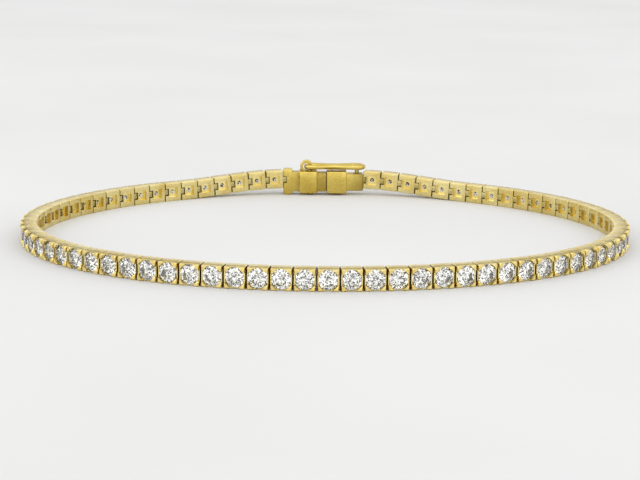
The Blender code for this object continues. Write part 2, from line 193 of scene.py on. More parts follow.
def softBar(name, radius, depth, centre, axis, rim, vertices=32):
    bar = addBar(name, radius, depth, centre, axis, vertices)
    line = Vector(axis)
    roundEdges(bar, rim, 3, lambda a, b: abs((a - b).dot(line)) < depth / 2)
    return bar


def combine(piece, tool, operation):
    only(piece)
    modifier = piece.modifiers.new("shape", "BOOLEAN")
    modifier.operation = operation
    modifier.solver = "EXACT"
    modifier.object = tool
    bpy.ops.object.modifier_apply(modifier=modifier.name)
    bpy.data.objects.remove(tool, do_unlink=True)


def smoothByAngle(piece, angle):
    only(piece)
    bpy.ops.object.shade_smooth_by_angle(angle=math.radians(angle))


def cleaned(piece):
    only(piece)
    bpy.ops.object.mode_set(mode="EDIT")
    bpy.ops.mesh.select_all(action="SELECT")
    bpy.ops.mesh.remove_doubles(threshold=0.001)
    bpy.ops.mesh.dissolve_degenerate(threshold=0.001)
    objectMode()


def markPoints(piece, name, rule):
    layer = piece.data.attributes.new(name, "FLOAT", "POINT")
    for number, point in enumerate(piece.data.vertices):
        layer.data[number].value = rule(point.co)


def ease(value, low, high):
    share = min(max((value - low) / (high - low), 0.0), 1.0)
    return share * share * (3.0 - 2.0 * share)


def copiedAlong(name, source, matrices, material):
    bpy.ops.object.select_all(action="DESELECT")
    copies = []
    for matrix in matrices:
        piece = source.copy()
        piece.data = source.data.copy()
        piece.data.transform(Matrix.Scale(mm, 4) @ matrix)
        bpy.context.scene.collection.objects.link(piece)
        piece.select_set(True)
        copies.append(piece)
    bpy.context.view_layer.objects.active = copies[0]
    bpy.ops.object.join()
    joined = copies[0]
    joined.name = name
    joined.data.name = name
    joined.data.materials.clear()
    joined.data.materials.append(material)
    return joined


# materials
def newMaterial(name):
    material = bpy.data.materials.new(name)
    material.use_nodes = True
    tree = material.node_tree
    tree.nodes.clear()
    output = tree.nodes.new("ShaderNodeOutputMaterial")
    shader = tree.nodes.new("ShaderNodeBsdfPrincipled")
    tree.links.new(shader.outputs["BSDF"], output.inputs["Surface"])
    place = tree.nodes.new("ShaderNodeTexCoord")
    return material, tree, shader, place


def noiseNode(tree, place, scale, detail, stretch=None):
    noise = tree.nodes.new("ShaderNodeTexNoise")
    noise.inputs["Scale"].default_value = scale
    noise.inputs["Detail"].default_value = detail
    source = place.outputs["Object"]
    if stretch:
        mapping = tree.nodes.new("ShaderNodeMapping")
        mapping.inputs["Scale"].default_value = stretch
        tree.links.new(source, mapping.inputs["Vector"])
        source = mapping.outputs["Vector"]
    tree.links.new(source, noise.inputs["Vector"])
    return noise


def rampNode(tree, stops, source):
    ramp = tree.nodes.new("ShaderNodeValToRGB")
    while len(ramp.color_ramp.elements) < len(stops):
        ramp.color_ramp.elements.new(1.0)
    for element, (place, colour) in zip(ramp.color_ramp.elements, stops):
        element.position = place
        element.color = (*colour, 1.0)
    tree.links.new(source, ramp.inputs["Fac"])
    return ramp


def rangeNode(tree, source, low, high, fromLow=0.3, fromHigh=0.7):
    span = tree.nodes.new("ShaderNodeMapRange")
    span.inputs["From Min"].default_value = fromLow
    span.inputs["From Max"].default_value = fromHigh
    span.inputs["To Min"].default_value = low
    span.inputs["To Max"].default_value = high
    tree.links.new(source, span.inputs["Value"])
    return span


chainGoldLook = {
    "broadScale": 350.0,
    "deep": (0.79, 0.62, 0.21),
    "pale": (0.90, 0.77, 0.36),
    # painted warmth: a deeper orange standing in for light reflected between the prongs, and how
    # strongly it is mixed in
    "paintedWarmth": (0.90, 0.70, 0.26),
    "paintedWarmthShare": 0.6,
    # painted shade: its dark colour, how strongly it darkens, and the extra roughness where it
    # lies
    "paintedShade": (0.025, 0.015, 0.004),
    "paintedShadeShare": 0.95,
    "wearScale": 2600.0,
    "roughLow": 0.17,
    "roughHigh": 0.34,
    "paintedShadeRough": 0.35,
    "scratch": 0.10,
    "scratchScale": 5000.0,
    "scratchDepth": 0.00002,
    "scratchWay": (1.0, 1.0, 6.0),
}
# painted shade: the clasp and catch use a darker copy of the chain's gold, so they look darker
# than the links under the same light
claspShadedGoldLook = dict(
    chainGoldLook,
    deep=(0.57, 0.405, 0.078),
    pale=(0.66, 0.51, 0.13),
    scratch=0.12,
    scratchWay=(0.25, 5.0, 5.0),
)
catchShadedGoldLook = dict(claspShadedGoldLook, scratch=0.08, roughLow=0.14, roughHigh=0.26)


def mixNode(tree, share, first, second):
    mix = tree.nodes.new("ShaderNodeMix")
    mix.data_type = "RGBA"
    tree.links.new(share, mix.inputs["Factor"])
    for socket, colour in ((mix.inputs["A"], first), (mix.inputs["B"], second)):
        if isinstance(colour, tuple):
            socket.default_value = (*colour, 1.0)
        else:
            tree.links.new(colour, socket)
    return mix


def mathNode(tree, operation, first, second):
    step = tree.nodes.new("ShaderNodeMath")
    step.operation = operation
    for socket, value in zip(step.inputs, (first, second)):
        if isinstance(value, float):
            socket.default_value = value
        else:
            tree.links.new(value, socket)
    return step


def marks(tree, name):
    reader = tree.nodes.new("ShaderNodeAttribute")
    reader.attribute_name = name
    return reader.outputs["Fac"]


# gold with slow changes of tone, darker where marked with painted shade, and yellower where marked
# with painted warmth from light reflected between the prongs
def polishedGold(name, look):
    material, tree, shader, place = newMaterial(name)
    broad = noiseNode(tree, place, look["broadScale"], 3.0)
    ramp = rampNode(tree, ((0.35, look["deep"]), (0.65, look["pale"])), broad.outputs["Fac"])
    wear = noiseNode(tree, place, look["wearScale"], 5.0)
    paintedShadeStrength = rangeNode(tree, wear.outputs["Fac"], 0.7 * look["paintedShadeShare"], look["paintedShadeShare"])
    paintedShade = mathNode(tree, "MULTIPLY", marks(tree, "paintedShade"), paintedShadeStrength.outputs["Result"])
    paintedWarmthMask = mathNode(tree, "MULTIPLY", marks(tree, "paintedWarmth"), look["paintedWarmthShare"])
    withPaintedWarmth = mixNode(tree, paintedWarmthMask.outputs["Value"], ramp.outputs["Color"], look["paintedWarmth"])
    mix = mixNode(tree, paintedShade.outputs["Value"], withPaintedWarmth.outputs["Result"], look["paintedShade"])
    tree.links.new(mix.outputs["Result"], shader.inputs["Base Color"])
    polish = rangeNode(tree, wear.outputs["Fac"], look["roughLow"], look["roughHigh"])
    dull = mathNode(tree, "MULTIPLY", paintedShade.outputs["Value"], look["paintedShadeRough"])
    rough = mathNode(tree, "ADD", polish.outputs["Result"], dull.outputs["Value"])
    tree.links.new(rough.outputs["Value"], shader.inputs["Roughness"])
    scratches = noiseNode(tree, place, look["scratchScale"], 3.0, look["scratchWay"])
    bump = tree.nodes.new("ShaderNodeBump")
    bump.inputs["Strength"].default_value = look["scratch"]
    bump.inputs["Distance"].default_value = look["scratchDepth"]
    tree.links.new(scratches.outputs["Fac"], bump.inputs["Height"])
    tree.links.new(bump.outputs["Normal"], shader.inputs["Normal"])
    shader.inputs["Metallic"].default_value = 1.0
    return material


stoneLook = {
    "reflectionFleckScale": 4000.0,
    "reflectionFlecks": ((0.0, 0.01), (0.33, 0.30), (0.40, 1.0)),
    "tint": (1.0, 0.995, 0.95),
    "bend": 2.42,
}


# clear stone with small dark flecks painted in, a painted reflection standing in for what its
# mirrored facets break up
def brilliantStone(name):
    material, tree, shader, place = newMaterial(name)
    reflectionFlecks = tree.nodes.new("ShaderNodeTexVoronoi")
    reflectionFlecks.inputs["Scale"].default_value = stoneLook["reflectionFleckScale"]
    tree.links.new(place.outputs["Object"], reflectionFlecks.inputs["Vector"])
    tint = stoneLook["tint"]
    stops = [(share, [tone * part for part in tint]) for share, tone in stoneLook["reflectionFlecks"]]
    ramp = rampNode(tree, stops, reflectionFlecks.outputs["Distance"])
    ramp.color_ramp.interpolation = "CONSTANT"
    tree.links.new(ramp.outputs["Color"], shader.inputs["Base Color"])
    shader.inputs["Roughness"].default_value = 0.0
    shader.inputs["IOR"].default_value = stoneLook["bend"]
    shader.inputs["Transmission Weight"].default_value = 1.0
    return material


# one link's basket: x along the chain, y out of the loop, z up
basket = {
    "length": 2.07,
    "height": 2.18,
    "inner": 0.35,
    "rim": 1.02,
    "cornerRound": 0.13,
    "innerRound": 0.09,
    "shoulder": 0.045,
    "shoulderHalf": 0.14,
    "shoulderInset": 0.06,
    "window": 1.14,
    "windowTaper": 0.9,
    "windowDepth": 0.40,
    "seatRadius": 0.99,
    "seatFloor": 0.25,
    "girdleRadius": 1.02,
    "girdleDepth": 0.04,
    "railWidth": 0.13,
    "railHeight": 0.80,
    "railTop": 1.11,
    "slotHalfHeight": 0.42,
    "slotHalfDepth": 0.35,
    "slotReach": 0.46,
    "tongueHalfHeight": 0.34,
    "tongueHalfDepth": 0.27,
    "tongueGap": 0.05,
    "tongueRoot": 0.26,
    "tongueEdge": 0.07,
    "edge": 0.03,
    "sides": 32,
    # strength of the painted shade round the prong bases, and how much darker the inner face is
    "prongShadeLine": 0.65,
    "wristDarkening": 0.20,
    "cornerFrom": 0.45,
}
prong = {
    "radius": 0.34,
    "inset": 0.04,
    "widen": 1.55,
    "foot": 0.55,
    "shoulder": 1.18,
    "top": 1.37,
    "round": 0.10,
    "lean": 0.10,
    "steps": ((0.60, 0.94), (0.40, 0.74)),
}


def makeProng(corner):
    outward = corner.normalized()
    depth = prong["shoulder"] - prong["foot"]
    piece = addBar("prong", prong["radius"], depth, (0, 0, depth / 2), (0, 0, 1), vertices=3)
    roundEdges(piece, prong["round"], 2, lambda a, b: abs(a.z - b.z) > depth / 2)
    pickFaces(piece, lambda centre, normal: normal.z > 0.9)
    rise = prong["top"] - prong["shoulder"]
    for part, shrink in prong["steps"]:
        bpy.ops.mesh.extrude_region_move(TRANSFORM_OT_translate={"value": (0, 0, rise * part)})
        bpy.ops.transform.resize(value=(shrink, shrink, 1.0))
    objectMode()
    apex = max(piece.data.vertices, key=lambda point: point.co.xy.length).co
    level = Matrix.Rotation(-math.atan2(apex.y, apex.x), 4, "Z")
    piece.data.transform(Matrix.Diagonal((1.0, prong["widen"], 1.0, 1.0)) @ level)
    for point in piece.data.vertices:
        point.co.x -= prong["lean"] * max(0.0, point.co.z / prong["top"]) ** 2
    reach = max(point.co.x for point in piece.data.vertices)
    place = corner - outward * (reach + prong["inset"])
    across = Vector((-outward.z, 0.0, outward.x))
    turn = Matrix((outward, across, Vector((0, 1, 0)))).transposed().to_4x4()
    lift = Matrix.Translation(place + Vector((0, prong["foot"], 0)))
    piece.data.transform(lift @ turn)
    if turn.determinant() < 0:
        piece.data.flip_normals()
    return piece


def basketBody():
    halfLength = basket["length"] / 2
    halfHeight = basket["height"] / 2
    inner = basket["inner"]
    rim = basket["rim"]
    block = addBlock("basket", (-halfLength, -inner, -halfHeight), (halfLength, rim, halfHeight))
    roundEdges(block, basket["cornerRound"], 3, lambda a, b: abs(a.y - b.y) > inner)
    roundEdges(block, basket["innerRound"], 3, lambda a, b: max(a.y, b.y) < 0.01 - inner)
    roundEdges(block, basket["edge"], 2, lambda a, b: min(a.y, b.y) > rim - 0.01)
    proud = halfLength + basket["shoulder"]
    tall = halfHeight - basket["shoulderInset"]
    half = basket["shoulderHalf"]
    shoulder = addBlock("shoulder", (-proud, -half, -tall), (proud, half, tall))
    roundEdges(shoulder, basket["shoulder"], 2, lambda a, b: abs(a.z - b.z) > tall)
    combine(block, shoulder, "UNION")
    return block


# window on the inner side, its walls leaning in, and a conical seat for the stone through to it
def cutWindowAndSeat(block):
    reach = basket["window"] / 2
    inner = basket["inner"]
    floor = basket["windowDepth"] - inner
    window = addBlock("window", (-reach, -inner - 0.1, -reach), (reach, floor, reach))
    pickFaces(window, lambda centre, normal: normal.y > 0.9)
    bpy.ops.transform.resize(value=(basket["windowTaper"], 1.0, basket["windowTaper"]))
    objectMode()
    combine(block, window, "DIFFERENCE")

    rim = basket["rim"]
    top = rim + 0.3
    bottom = floor - 0.1
    slope = (basket["seatRadius"] - basket["seatFloor"]) / (rim - floor)
    seat = addBar(
        "seat",
        basket["seatFloor"] - slope * 0.1,
        top - bottom,
        (0, (top + bottom) / 2, 0),
        (0, 1, 0),
        basket["sides"],
        basket["seatRadius"] + slope * 0.3,
    )
    combine(block, seat, "DIFFERENCE")
    depth = 0.5
    ledge = (0, rim - basket["girdleDepth"] + depth / 2, 0)
    girdle = addBar("girdle", basket["girdleRadius"], depth, ledge, (0, 1, 0), basket["sides"])
    combine(block, girdle, "DIFFERENCE")


# slot at the near end, tongue at the far end
def addHinge(block):
    halfLength = basket["length"] / 2
    hinge = loop["pitch"] / 2
    slot = addBlock(
        "slot",
        (-halfLength - 0.2, -basket["inner"] - 0.2, -basket["slotHalfHeight"]),
        (basket["slotReach"] - hinge, basket["slotHalfDepth"], basket["slotHalfHeight"]),
    )
    combine(block, slot, "DIFFERENCE")
    tip = hinge + basket["slotReach"] - basket["tongueGap"]
    combine(block, hingeTongue(halfLength - basket["tongueRoot"], tip), "UNION")


def hingeTongue(root, tip, height=0.0):
    halfDepth = basket["tongueHalfDepth"]
    halfTall = basket["tongueHalfHeight"]
    low = (root, -halfDepth, height - halfTall)
    high = (tip, halfDepth, height + halfTall)
    return softBlock("hingeTongue", low, high, basket["tongueEdge"], 2)


# a rail across each end between its two prongs
def addRailsAndProngs(block):
    halfLength = basket["length"] / 2
    halfHeight = basket["height"] / 2
    for sideX in (-1, 1):
        wall = sideX * (halfLength - basket["railWidth"] / 2)
        reach = basket["railWidth"] / 2
        rail = softBlock(
            "rail",
            (wall - reach, basket["rim"] - 0.2, -basket["railHeight"]),
            (wall + reach, basket["railTop"], basket["railHeight"]),
            basket["edge"],
            2,
        )
        combine(block, rail, "UNION")
        for sideZ in (-1, 1):
            corner = Vector((sideX * halfLength, 0.0, sideZ * halfHeight))
            combine(block, makeProng(corner), "UNION")


def makeBasket():
    block = basketBody()
    cutWindowAndSeat(block)
    addHinge(block)
    addRailsAndProngs(block)
    cleaned(block)
    smoothByAngle(block, 35)
    markPoints(block, "paintedShade", basketPaintedShade)
    markPoints(block, "paintedWarmth", basketPaintedWarmth)
    return block


# painted shade on each link: dark on its end faces, where the gaps between links fall in shade,
# and in a line round the prong bases at the rim; the inner (wrist) face is also darkened a little
def basketPaintedShade(point):
    halfLength = basket["length"] / 2
    inner = basket["inner"]
    depth = ease(basket["rim"] - point.y, 0.02, 0.10) * ease(point.y, -inner + 0.02, -inner + 0.14)
    end = ease(abs(point.x), halfLength - 0.03, halfLength - 0.005)
    corner = basket["cornerFrom"]
    inCorner = ease(min(abs(point.x), abs(point.z)), corner, corner + 0.15)
    onRim = ease(0.10 - abs(point.y - basket["rim"]), 0.0, 0.08)
    wrist = basket["wristDarkening"] * ease(-point.y, inner - 0.03, inner - 0.01)
    return max(depth * end, basket["prongShadeLine"] * inCorner * onRim, wrist)


# painted warmth on the prong tops, standing in for light reflected between the prongs
def basketPaintedWarmth(point):
    corner = basket["cornerFrom"]
    inCorner = ease(min(abs(point.x), abs(point.z)), corner, corner + 0.10)
    return inCorner * ease(point.y, basket["rim"] + 0.02, basket["rim"] + 0.10)


# the round brilliant: table up, cut facet by facet from a sixteen-sided blank
cut = {
    "radius": 1.01,
    "table": 0.57,
    "crownAngle": 34.5,
    "pavilionAngle": 40.8,
    "starLength": 0.50,
    "lowerLength": 0.77,
    "girdle": 0.025,
}


def polar(radius, azimuth, height):
    return Vector((radius * math.cos(azimuth), radius * math.sin(azimuth), height))


def planeThrough(a, b, c, up):
    normal = (b - a).cross(c - a).normalized()
    return a, normal if normal.z * up > 0 else -normal


def facetPlanes():
    radius = cut["radius"]
    step = math.pi / 8
    crownSlope = math.tan(math.radians(cut["crownAngle"]))
    pavilionSlope = math.tan(math.radians(cut["pavilionAngle"]))
    girdle = cut["girdle"]
    tableRadius = cut["table"] * radius
    tableHeight = girdle + (radius - tableRadius) * crownSlope
    tableSide = tableRadius * math.cos(step)
    starRadius = tableSide + cut["starLength"] * (radius - tableSide)
    starHeight = girdle + (radius - starRadius * math.cos(step)) * crownSlope
    lowerRadius = radius * (1.0 - cut["lowerLength"])
    lowerDepth = -girdle - (radius - lowerRadius * math.cos(step)) * pavilionSlope
    planes = []
    for number in range(8):
        main = number * 2 * step
        between = main + step
        rim = polar(radius, main, girdle)
        planes.append((rim, polar(crownSlope, main, 1.0).normalized()))
        low = polar(radius, main, -girdle)
        planes.append((low, polar(pavilionSlope, main, -1.0).normalized()))
        star = polar(starRadius, between, starHeight)
        corners = [polar(tableRadius, between + side * step, tableHeight) for side in (-1, 1)]
        planes.append(planeThrough(star, *corners, 1))
        tip = polar(lowerRadius, between, lowerDepth)
        for side in (-1, 1):
            beside = between + side * step
            for inside, up in ((star, 1), (tip, -1)):
                near = polar(radius, between, up * girdle)
                far = polar(radius, beside, up * girdle)
                planes.append(planeThrough(inside, near, far, up))
    return planes, tableHeight, -girdle - radius * pavilionSlope


def makeBrilliant():
    planes, tableHeight, culet = facetPlanes()
    low = culet - 0.2
    piece = addBar(
        "brilliant",
        cut["radius"],
        tableHeight - low,
        (0, 0, (tableHeight + low) / 2),
        (0, 0, 1),
        16,
    )
    bpy.ops.object.mode_set(mode="EDIT")
    for point, normal in planes:
        bpy.ops.mesh.select_all(action="SELECT")
        bpy.ops.mesh.bisect(
            plane_co=point, plane_no=normal, use_fill=True, clear_outer=True, threshold=0.00001
        )
    bpy.ops.mesh.select_all(action="SELECT")
    bpy.ops.mesh.remove_doubles(threshold=0.0005)
    bpy.ops.mesh.normals_make_consistent(inside=False)
    objectMode()
    lift = Matrix.Translation((0, basket["rim"] - basket["girdleDepth"] + cut["girdle"], 0))
    piece.data.transform(lift @ Matrix.Rotation(-math.pi / 2, 4, "X"))
    return piece


def makeChain():
    places = linkPlaces()
    rightCount = loop["links"] - loop["leftLinks"]
    gold = polishedGold("chainGold", chainGoldLook)
    stone = brilliantStone("whiteBrilliant")
    basketPiece = makeBasket()
    brilliant = makeBrilliant()
    print("link", len(basketPiece.data.polygons), "stone", len(brilliant.data.polygons))
    draws = random.Random(77)
    spins = [Matrix.Rotation(draws.uniform(0, 2 * math.pi), 4, "Y") for place in places]
    for side, first, last in (("right", 0, rightCount), ("left", rightCount, loop["links"])):
        settings = copiedAlong(f"settings{side.title()}", basketPiece, places[first:last], gold)
        turned = [place @ spin for place, spin in zip(places[first:last], spins[first:last])]
        stones = copiedAlong(f"stones{side.title()}", brilliant, turned, stone)
        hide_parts(f"chain_{side}")
        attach(settings, "bracelet")
        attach(stones, "bracelet")
    for piece in (basketPiece, brilliant):
        bpy.data.objects.remove(piece, do_unlink=True)
    print("chain made")


makeChain()

# the clasp in its own frame: x along it, y out of the loop, z up from what it lies on
claspShape = {
    "inner": -0.75,
    "outer": 1.50,
    "height": 2.70,
    "edge": 0.14,
    "solder": 0.20,
    "out": 0.40,
    "seam": 1.15,
    "middle": 1.60,
    "past": 1.0,
    "topDarkening": 0.45,
}
tongueShape = {
    "block": 2.20,
    "tabLength": 1.10,
    "tabHeight": 3.10,
    "tabOut": 1.16,
    "tabFromHinge": 0.04,
    "neckWidth": 1.40,
    "neckHeight": 2.40,
    "neckEdge": 0.10,
    "foot": 0.60,
    "lug": 0.775,
    "lugHole": 0.45,
    "lugWidth": 0.80,
    "lugRim": 0.07,
    "holeRim": 0.05,
    "lugSides": 40,
    "stemInset": 0.03,
    "lugFromSeam": 1.30,
    "collarInset": 0.40,
    "collarLength": 1.55,
    "flangeInset": 0.20,
    "flangeLength": 1.31,
    "ringEdge": 0.06,
    "leaf": 0.25,
    "leafEdge": 0.03,
    "foldEdge": 0.10,
    "leafFromBox": 0.60,
    "leafTip": 1.85,
    "thumbFromMouth": 1.20,
    "thumbLength": 0.70,
    "thumbWidth": 0.60,
    "thumbEdge": 0.12,
    "grooves": 3,
    "groove": 0.07,
    "grooveSpread": 0.8,
    "grooveSink": 0.3,
    # strengths of the painted shade past the seam and on the recessed neck
    "seamShade": 0.45,
    "neckShade": 0.35,
}
boxShape = {
    "length": 2.45,
    "wall": 0.35,
    "endLength": 2.01,
    "endInset": 0.30,
    "endBlockDarkening": 0.50,
    "notchHalf": 0.45,
    "notchLength": 1.70,
    "hingeReach": 0.34,
    "ball": 0.40,
    "peg": 0.25,
    "pegFromEnd": 0.76,
    "pegRim": 0.03,
}
catchShape = {
    "wire": 0.60,
    "sideGap": 0.08,
    "waistGap": 0.14,
    "cornerSteps": 6,
    "waistSteps": 30,
    "eyeSteps": 9,
}


def nodeLow(name):
    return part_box(name)[0] / mm - claspOrigin()


def wireHeight():
    return frame["joints"][0]["pos_m"][2] / mm


def finishedClasp(piece, name, look, body, node):
    piece.name = name
    piece.data.name = name
    piece.data.transform(Matrix.Scale(mm, 4) @ Matrix.Translation(claspOrigin()))
    piece.data.materials.clear()
    piece.data.materials.append(polishedGold(f"{name}Gold", look))
    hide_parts(node)
    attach(piece, body)
    print(name, "made,", len(piece.data.polygons), "faces")


# darkens the top face and upper edges of a clasp piece
def topDarkening(point, top):
    return claspShape["topDarkening"] * ease(0.03 - abs(point.z - top), 0.0, 0.02)


def addLug(body, x, top):
    out = claspShape["out"]
    width = tongueShape["lugWidth"]
    radius = tongueShape["lug"]
    height = wireHeight()
    rim = tongueShape["lugRim"]
    sides = tongueShape["lugSides"]
    ring = softBar("lug", radius, width, (x, out, height), (0, 1, 0), rim, sides)
    halfLong = radius - tongueShape["stemInset"]
    halfWide = width / 2 - tongueShape["stemInset"]
    stem = softBlock(
        "stem",
        (x - halfLong, out - halfWide, top - claspShape["solder"]),
        (x + halfLong, out + halfWide, height),
        rim,
    )
    combine(ring, stem, "UNION")
    combine(body, ring, "UNION")
    hole = addBar("hole", tongueShape["lugHole"], width * 2, (x, out, height), (0, 1, 0), 32)
    combine(body, hole, "DIFFERENCE")

    def onRim(a):
        reach = math.hypot(a.x - x, a.z - height)
        return abs(reach - tongueShape["lugHole"]) < 0.01 and abs(a.y - out) > width / 2 - 0.01

    roundEdges(body, tongueShape["holeRim"], 2, lambda a, b: onRim(a) and onRim(b))


# the folded leaf that springs open in the box
def addSpringTongue(body, seamX, mouthX, low, top):
    reach = tongueShape["leafFromBox"]
    near = claspShape["inner"] + reach
    far = claspShape["outer"] - reach
    leaf = tongueShape["leaf"]
    tip = mouthX + tongueShape["leafTip"]
    upper = top - reach
    lower = low + reach
    edge = tongueShape["foldEdge"]
    fold = softBlock("fold", (tip - 2 * leaf, near, lower), (tip, far, upper), edge)
    past = claspShape["past"]
    gapLow = (tip - 4 * leaf, near - past, lower + leaf)
    gap = addBlock("gap", gapLow, (tip - leaf, far + past, upper - leaf))
    combine(fold, gap, "DIFFERENCE")
    combine(body, fold, "UNION")
    starts = (
        (seamX - claspShape["solder"], upper - leaf),
        (mouthX + tongueShape["thumbFromMouth"], lower),
    )
    for start, floor in starts:
        high = (tip - leaf, far, floor + leaf)
        plate = softBlock("leaf", (start, near, floor), high, tongueShape["leafEdge"], 2)
        combine(body, plate, "UNION")


def addThumbPiece(body, x, top):
    out = claspShape["out"]
    halfLong = tongueShape["thumbLength"] / 2
    halfWide = tongueShape["thumbWidth"] / 2
    low = (x - halfLong, out - halfWide, 0.0)
    high = (x + halfLong, out + halfWide, top)
    thumb = softBlock("thumb", low, high, tongueShape["thumbEdge"])
    grooves = tongueShape["grooves"]
    size = tongueShape["groove"]
    spread = halfLong * tongueShape["grooveSpread"]
    away = halfWide + size * tongueShape["grooveSink"]
    for number in range(grooves):
        place = x + spread * (2 * number - grooves + 1) / grooves
        for side in (-1, 1):
            groove = addBar("groove", size, 1.2, (place, out + side * away, 0.0), (0, 0, 1), 8)
            combine(thumb, groove, "DIFFERENCE")
    combine(body, thumb, "UNION")


def addTabAndNeck(body, lowX, blockX):
    middle = claspShape["middle"]
    hinge = loop["hingeHeight"]
    past = claspShape["past"]
    tabEnd = lowX + tongueShape["tabLength"]
    half = tongueShape["tabHeight"] / 2
    low = (lowX, -basket["inner"], middle - half)
    tab = softBlock("tab", low, (tabEnd, tongueShape["tabOut"], middle + half), claspShape["edge"])
    slotEnd = lowX - tongueShape["tabFromHinge"] + basket["slotReach"]
    slot = addBlock(
        "slot",
        (lowX - past, -past, hinge - basket["slotHalfHeight"]),
        (slotEnd, basket["slotHalfDepth"], hinge + basket["slotHalfHeight"]),
    )
    combine(tab, slot, "DIFFERENCE")
    combine(body, tab, "UNION")
    out = claspShape["out"]
    halfWide = tongueShape["neckWidth"] / 2
    halfTall = tongueShape["neckHeight"] / 2
    neck = softBlock(
        "neck",
        ((slotEnd + tabEnd) / 2, out - halfWide, middle - halfTall),
        (blockX + claspShape["solder"], out + halfWide, middle + halfTall),
        tongueShape["neckEdge"],
    )
    combine(body, neck, "UNION")


def makeClaspTongue():
    lowX = nodeLow("clasp_tongue").x
    boxLow = nodeLow("clasp_box")
    mouthX = boxLow.x
    seamX = mouthX - claspShape["seam"]
    blockX = seamX - tongueShape["block"]
    inner = claspShape["inner"]
    outer = claspShape["outer"]
    foot = boxLow.z
    top = foot + claspShape["height"]
    high = (seamX, outer, top)
    body = softBlock("claspTongue", (blockX, inner, foot), high, claspShape["edge"])
    addTabAndNeck(body, lowX, blockX)
    lugX = seamX - tongueShape["lugFromSeam"]
    radius = tongueShape["foot"]
    width = tongueShape["lugWidth"]
    centre = (lugX, claspShape["out"], radius)
    sides = tongueShape["lugSides"]
    footBar = softBar("foot", radius, width, centre, (0, 1, 0), tongueShape["lugRim"], sides)
    combine(body, footBar, "UNION")
    start = seamX - claspShape["solder"]
    for name in ("flange", "collar"):
        inset = tongueShape[f"{name}Inset"]
        end = start + tongueShape[f"{name}Length"]
        low = (start, inner + inset, foot + inset)
        ring = softBlock(name, low, (end, outer - inset, top - inset), tongueShape["ringEdge"], 2)
        combine(body, ring, "UNION")
    addLug(body, lugX, top)
    addSpringTongue(body, seamX, mouthX, foot, top)
    thumbTop = foot + tongueShape["leafFromBox"] + claspShape["solder"]
    addThumbPiece(body, mouthX + tongueShape["thumbFromMouth"], thumbTop)
    cleaned(body)
    smoothByAngle(body, 35)
    tabEnd = lowX + tongueShape["tabLength"]

    # painted shade past the seam, on the recessed neck and inside the tab's slot; the top face is
    # darkened as well
    def rule(point):
        seam = tongueShape["seamShade"] * ease(point.x, seamX - 0.05, seamX + 0.02)
        pastTab = ease(point.x, tabEnd - 0.02, tabEnd)
        beforeBlock = ease(blockX + 0.02 - point.x, 0.0, 0.02)
        onNeck = tongueShape["neckShade"] * pastTab * beforeBlock
        slot = ease(lowX + 0.04 - point.x, 0.0, 0.03)
        return max(seam, onNeck, slot, topDarkening(point, top))

    markPoints(body, "paintedShade", rule)
    finishedClasp(body, "claspTongue", claspShadedGoldLook, "bracelet", "clasp_tongue")


def addPeg(body, x, root):
    out = claspShape["out"]
    height = wireHeight()
    centre = (x, out, (height + root) / 2)
    stem = softBar(
        "peg", boxShape["peg"], height - root, centre, (0, 0, 1), boxShape["pegRim"], 24
    )
    bpy.ops.object.select_all(action="DESELECT")
    bpy.ops.mesh.primitive_uv_sphere_add(
        segments=24, ring_count=16, radius=boxShape["ball"], location=(x, out, height)
    )
    ball = added("ball")
    combine(body, stem, "UNION")
    combine(body, ball, "UNION")


def makeClaspBox():
    low = nodeLow("clasp_box")
    foot = low.z
    top = foot + claspShape["height"]
    inner = claspShape["inner"]
    outer = claspShape["outer"]
    edge = claspShape["edge"]
    wall = boxShape["wall"]
    inset = boxShape["endInset"]
    boxEnd = low.x + boxShape["length"]
    blockEnd = boxEnd + boxShape["endLength"]
    body = softBlock("claspBox", (low.x, inner, foot), (boxEnd, outer, top), edge)
    endBlock = softBlock(
        "endBlock",
        (boxEnd - claspShape["solder"], inner + inset, foot + inset),
        (blockEnd, outer - inset, top - inset),
        edge,
    )
    combine(body, endBlock, "UNION")
    past = claspShape["past"]
    hollow = addBlock(
        "hollow",
        (low.x - past, inner + wall, foot + wall),
        (boxEnd - wall, outer - wall, top - wall),
    )
    combine(body, hollow, "DIFFERENCE")
    out = claspShape["out"]
    notch = addBlock(
        "notch",
        (low.x - past, out - boxShape["notchHalf"], foot - past),
        (low.x + boxShape["notchLength"], out + boxShape["notchHalf"], foot + wall + 0.2),
    )
    combine(body, notch, "DIFFERENCE")
    solder = claspShape["solder"]
    tip = blockEnd + boxShape["hingeReach"]
    combine(body, hingeTongue(blockEnd - solder, tip, loop["hingeHeight"]), "UNION")
    addPeg(body, blockEnd - boxShape["pegFromEnd"], top - inset - solder)
    cleaned(body)
    smoothByAngle(body, 35)

    # painted shade in the box's open mouth; the end block and the top face are darkened as well
    def rule(point):
        mouth = ease(low.x + 0.05 - point.x, 0.0, 0.045)
        onBlock = ease(point.x, boxEnd, boxEnd + 0.1) * ease(top - point.z, 0.2, 0.3)
        return max(mouth, boxShape["endBlockDarkening"] * onBlock, topDarkening(point, top))

    markPoints(body, "paintedShade", rule)
    finishedClasp(body, "claspBox", claspShadedGoldLook, "bracelet", "clasp_box")


